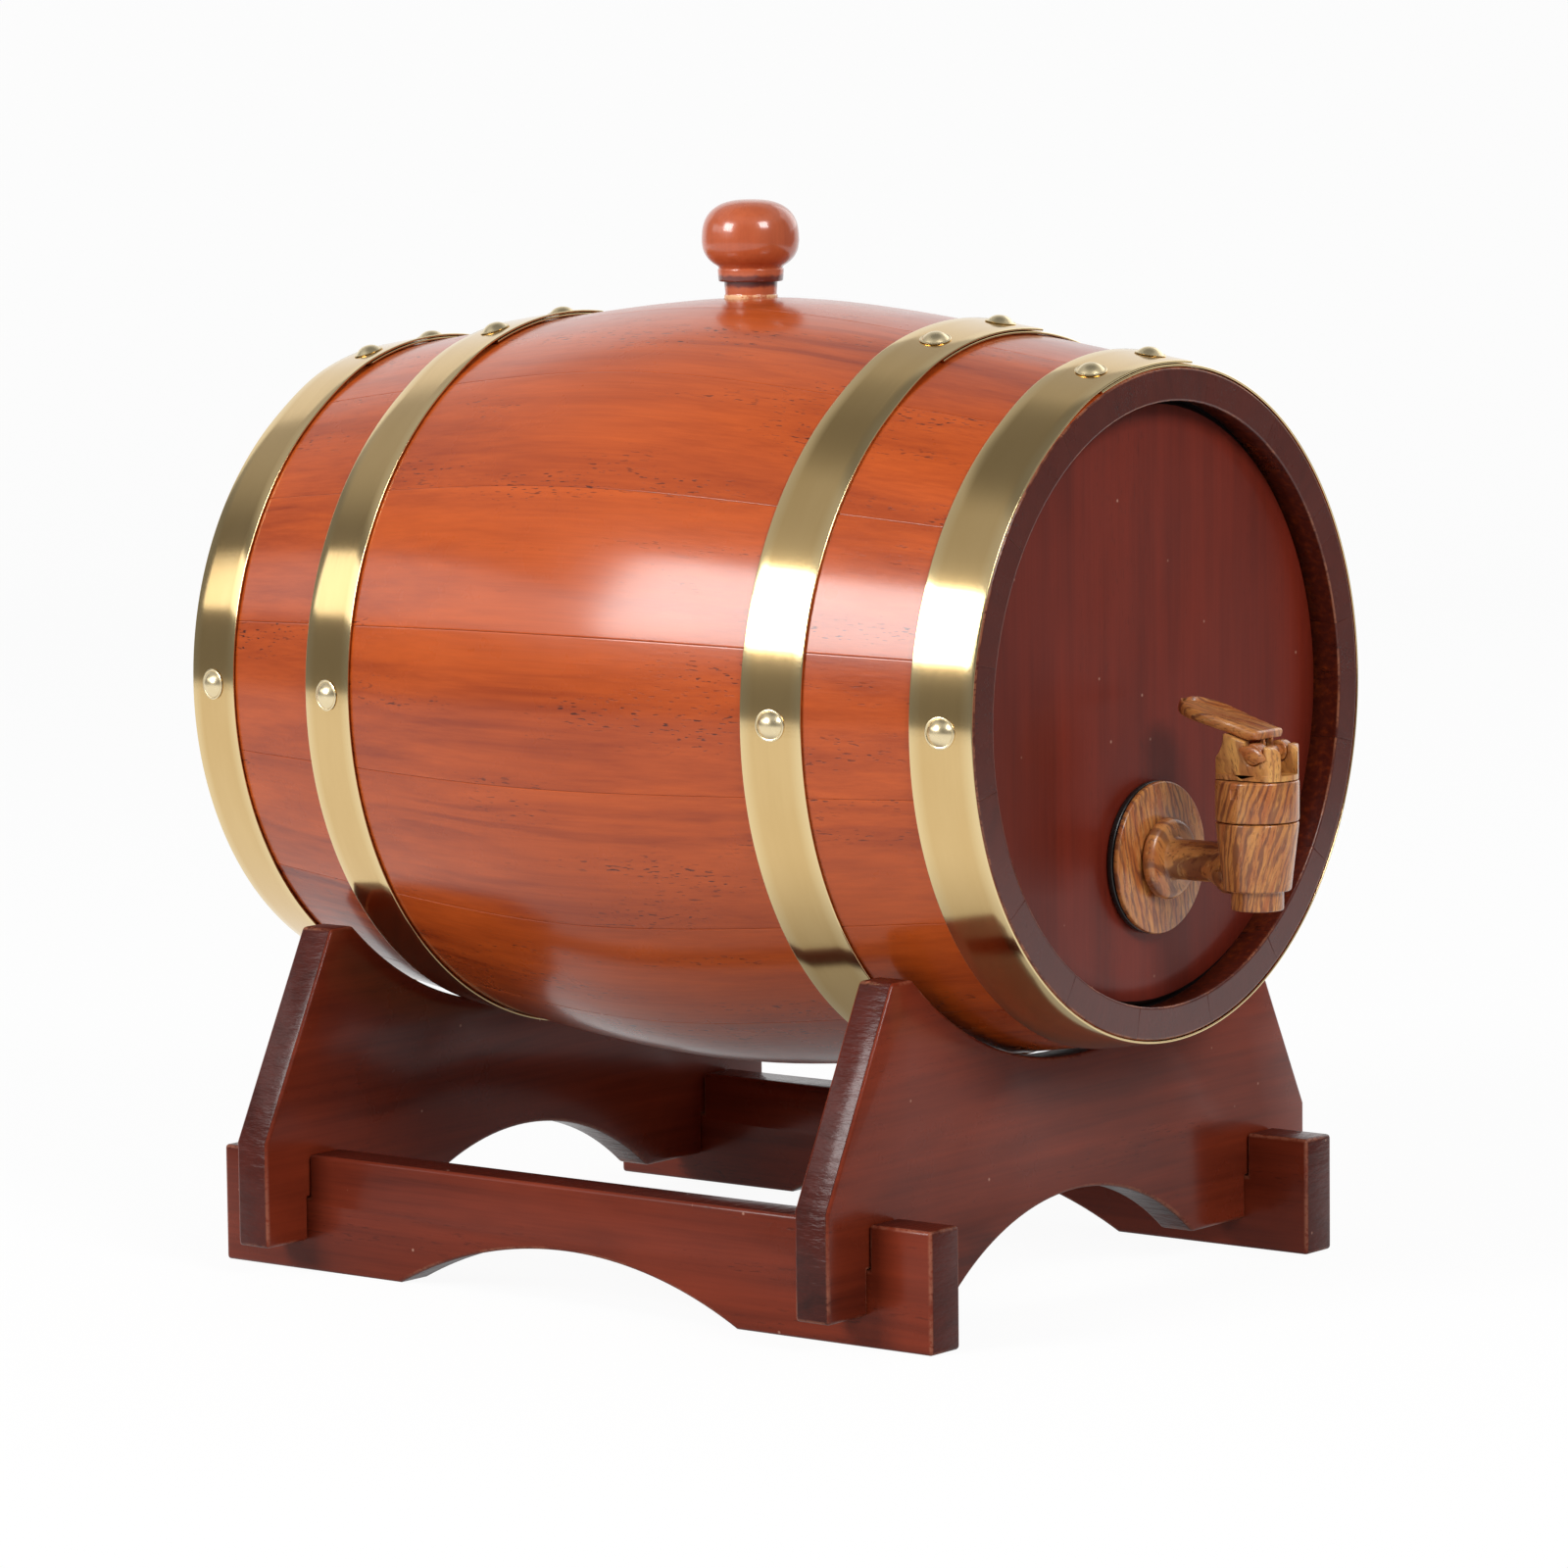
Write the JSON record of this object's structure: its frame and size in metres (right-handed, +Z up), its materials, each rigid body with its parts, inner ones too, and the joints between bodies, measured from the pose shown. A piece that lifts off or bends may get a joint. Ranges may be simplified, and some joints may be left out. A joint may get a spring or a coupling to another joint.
{
  "type": "cask drink dispenser",
  "caption": "Small hooped oak cask lying on a cradle stand, with a turned bung on top and a lever tap in its front head for pouring drinks.",
  "frame": {"origin": "on the floor, under the middle of the whole's bounding box", "axes": "+Z up, +Y along the cask's axis towards its rear, with the tap at -Y, +X to the right as seen from the tap end"},
  "size_m": [0.248, 0.3444, 0.3298],
  "materials": {
    "stave": "satin lacquer, orange-brown",
    "head": "satin lacquer, dark red-brown",
    "stand": "satin lacquer, red-brown",
    "hoop": "brushed",
    "rivet": "polished",
    "bung": "gloss lacquer",
    "tap_grain": "satin with a printed wood grain",
    "fork": "satin, plain",
    "seal": "matt",
    "nut": "satin",
    "spring": "bright wire"
  },
  "bodies": {
    "stand": {"cradle_front": "stand", "cradle_rear": "stand", "rail_left": "stand", "rail_right": "stand"},
    "cask": {"stave_01": "stave", "stave_02": "stave", "stave_03": "stave", "stave_04": "stave", "stave_05": "stave", "stave_06": "stave", "stave_07": "stave", "stave_08": "stave", "stave_09": "stave", "stave_10": "stave", "stave_11": "stave", "stave_12": "stave", "stave_13": "stave", "stave_14": "stave", "stave_15": "stave", "stave_16": "stave", "head_front": "head", "head_rear": "head", "hoop_front_head": "hoop", "hoop_front_quarter": "hoop", "hoop_rear_quarter": "hoop", "hoop_rear_head": "hoop", "rivet_front_head_1": "rivet", "rivet_front_head_2": "rivet", "rivet_front_head_3": "rivet", "rivet_front_head_4": "rivet", "rivet_front_quarter_1": "rivet", "rivet_front_quarter_2": "rivet", "rivet_front_quarter_3": "rivet", "rivet_front_quarter_4": "rivet", "rivet_rear_quarter_1": "rivet", "rivet_rear_quarter_2": "rivet", "rivet_rear_quarter_3": "rivet", "rivet_rear_quarter_4": "rivet", "rivet_rear_head_1": "rivet", "rivet_rear_head_2": "rivet", "rivet_rear_head_3": "rivet", "rivet_rear_head_4": "rivet", "tap_body": "tap_grain", "tap_collar": "tap_grain", "tap_flange": "tap_grain", "tap_gasket_outer": "seal", "tap_gasket_inner": "seal", "tap_lock_nut": "nut", "tap_spring": "spring"},
    "bung": {"bung": "bung"},
    "fork": {"tap_fork": "fork"},
    "lever": {"tap_lever": "tap_grain"},
    "plunger": {"tap_plunger": "fork", "tap_seat_washer": "seal"}
  },
  "joints": [
    {"name": "cask_lift", "type": "slide", "parent": "stand", "child": "cask", "axis": [0, 0, 1], "range_m": [0, 0.12]},
    {"name": "bung_lift", "type": "slide", "parent": "cask", "child": "bung", "axis": [0, 0, 1], "range_m": [0, 0.04]},
    {"name": "fork_swivel", "type": "hinge", "parent": "cask", "child": "fork", "pos_m": [0, -0.1597, 0.1608], "axis": [0, 0, 1], "continuous": true},
    {"name": "lever_lift", "type": "hinge", "parent": "fork", "child": "lever", "pos_m": [0, -0.1637, 0.1688], "axis": [1, 0, 0], "range_deg": [0, 45], "stiffness_Nm_per_rad": 0.01, "springref_deg": -57.3},
    {"name": "plunger_lift", "type": "slide", "parent": "fork", "child": "plunger", "axis": [0, 0, 1], "range_m": [0, 0.003], "deforming": ["tap_spring"]}
  ],
  "couplings": [
    {"joint": "plunger_lift", "follows": "lever_lift", "m_per_rad": 0.00367}
  ]
}
